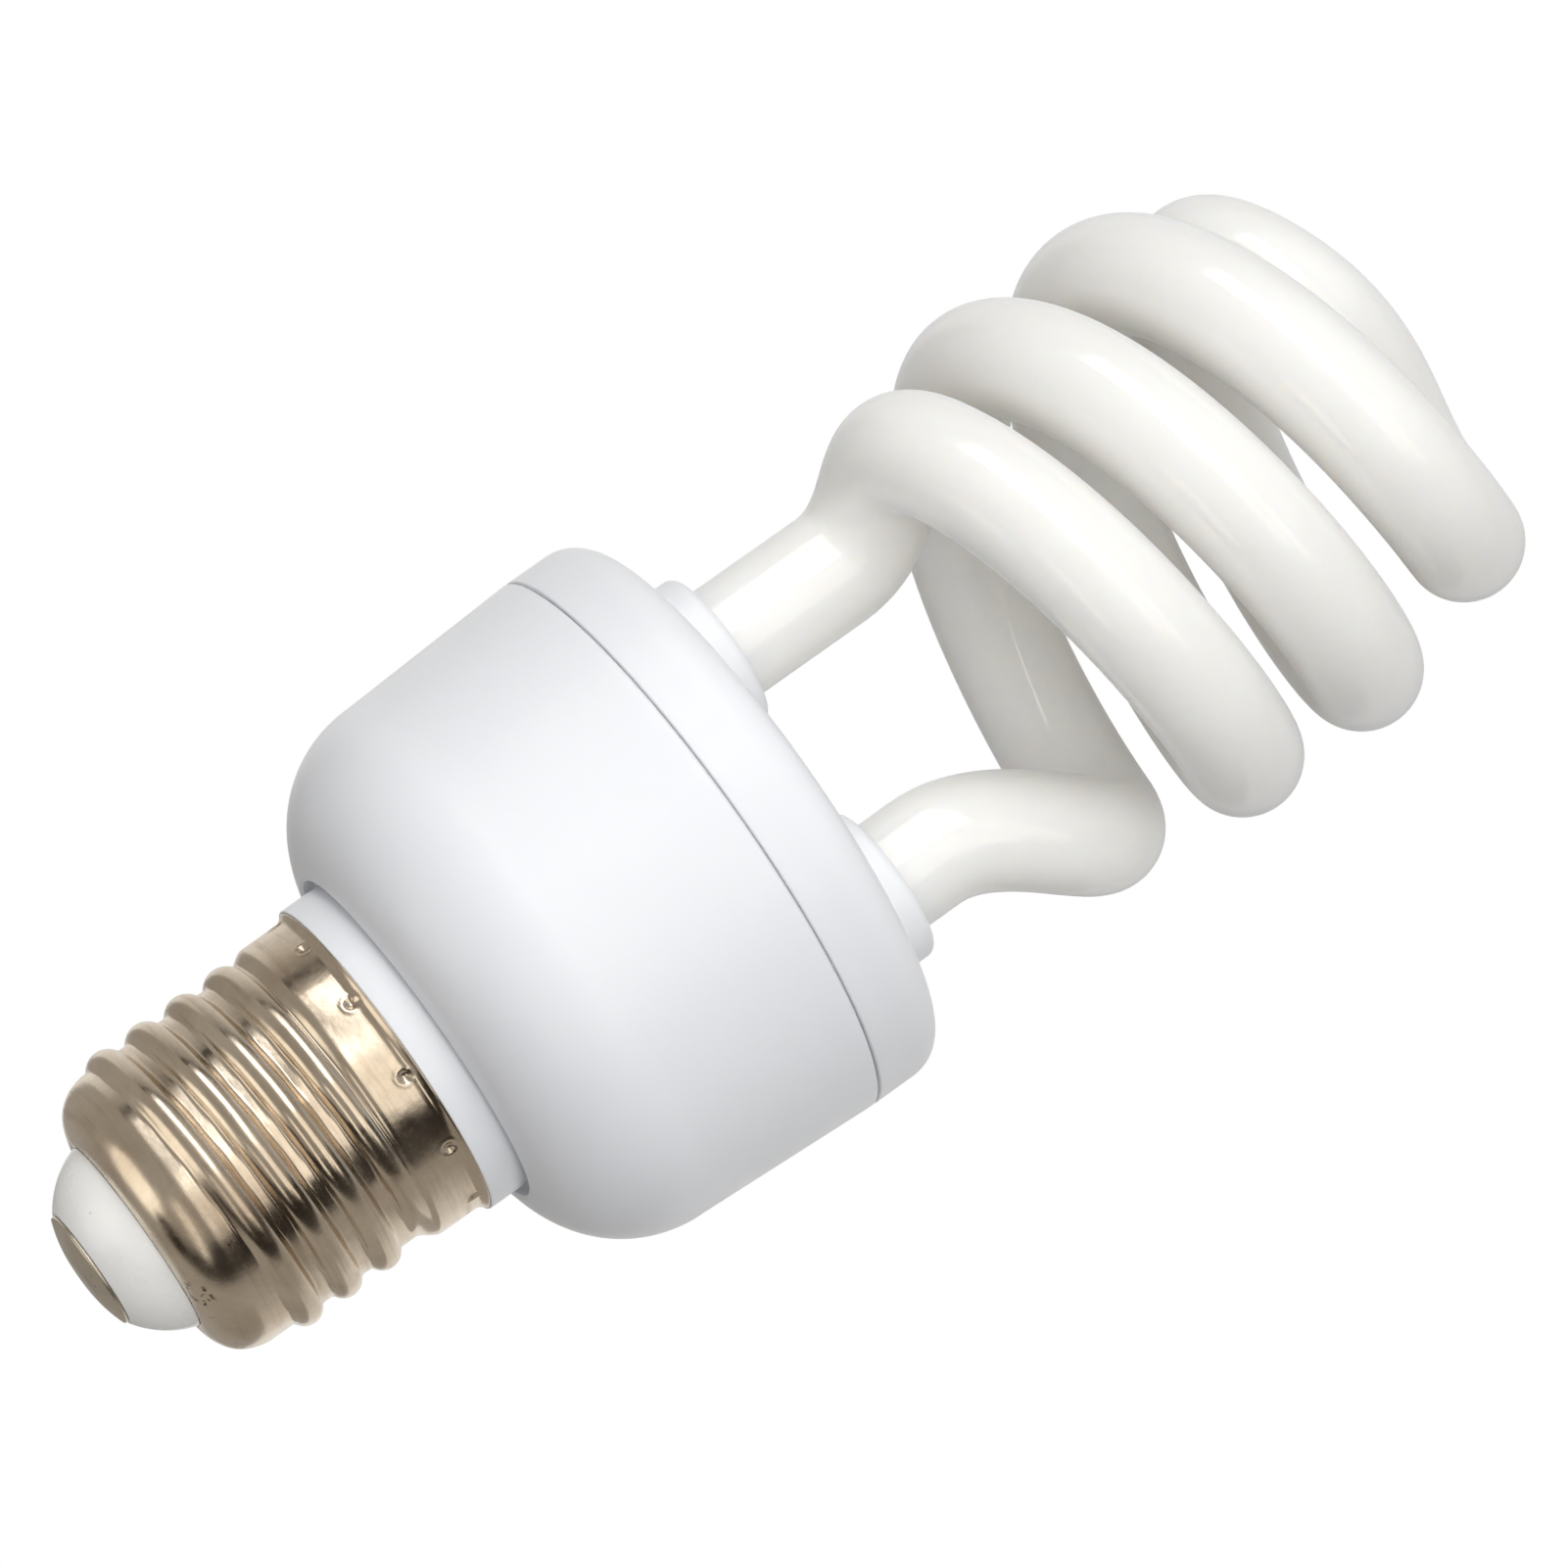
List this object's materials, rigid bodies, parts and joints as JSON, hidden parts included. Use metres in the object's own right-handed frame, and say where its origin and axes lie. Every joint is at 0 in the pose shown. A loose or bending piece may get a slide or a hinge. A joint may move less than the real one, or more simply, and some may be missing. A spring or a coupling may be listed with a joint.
{
  "type": "reptile uvb bulb",
  "caption": "Compact spiral fluorescent UVB lamp: coiled white glass tube on a round ballast housing with a standard screw base.",
  "frame": {"origin": "flat centre of the centre contact, on the axis of the screw base", "axes": "+Z along the screw base's axis, from the centre contact to the spiral; the tube's legs stand on X, leg 1 at -X and leg 2 at +X"},
  "size_m": [0.0488, 0.0488, 0.1279],
  "materials": {
    "nickel": "polished nickel plate",
    "insulator": "gloss",
    "housing": "satin gloss",
    "tube_glass": "clear glass over an opaque white coating",
    "cement": "matte",
    "board": "matte",
    "ferrite": "matte",
    "bobbin": "matte",
    "copper": "enamelled wire",
    "winding_wire": "gloss",
    "capacitor_sleeve": "gloss",
    "black_moulding": "matte",
    "film_capacitor": "gloss",
    "thermistor": "matte",
    "resistor": "gloss",
    "trigger_diode": "gloss",
    "fuse_resistor": "matte",
    "tinned_pin": "tinned",
    "live_sleeve": "gloss",
    "neutral_sleeve": "gloss"
  },
  "bodies": {
    "root": {"ballast_housing": "housing", "base_insulator": "insulator", "bulk_capacitor": "capacitor_sleeve", "centre_contact": "nickel", "choke_bobbin": "bobbin", "choke_core": "ferrite", "choke_winding": "copper", "circuit_board": "board", "coupling_capacitor": "film_capacitor", "diode_1": "black_moulding", "diode_2": "black_moulding", "diode_3": "black_moulding", "diode_4": "black_moulding", "discharge_tube": "tube_glass", "drive_ring": "ferrite", "drive_winding": "winding_wire", "filter_core": "ferrite", "filter_winding": "copper", "fuse_resistor": "fuse_resistor", "live_wire": "live_sleeve", "neutral_wire": "neutral_sleeve", "resistor_1": "resistor", "resistor_2": "resistor", "resistor_3": "resistor", "resistor_4": "resistor", "resonant_capacitor": "film_capacitor", "screw_shell": "nickel", "snubber_capacitor": "film_capacitor", "start_thermistor": "thermistor", "transistor_1": "black_moulding", "transistor_2": "black_moulding", "trigger_diode": "trigger_diode", "tube_cap": "housing", "tube_cement_1": "cement", "tube_cement_2": "cement", "tube_lead_1": "tinned_pin", "tube_lead_2": "tinned_pin", "tube_lead_3": "tinned_pin", "tube_lead_4": "tinned_pin", "wrap_pin_1": "tinned_pin", "wrap_pin_2": "tinned_pin", "wrap_pin_3": "tinned_pin", "wrap_pin_4": "tinned_pin"}
  },
  "joints": []
}
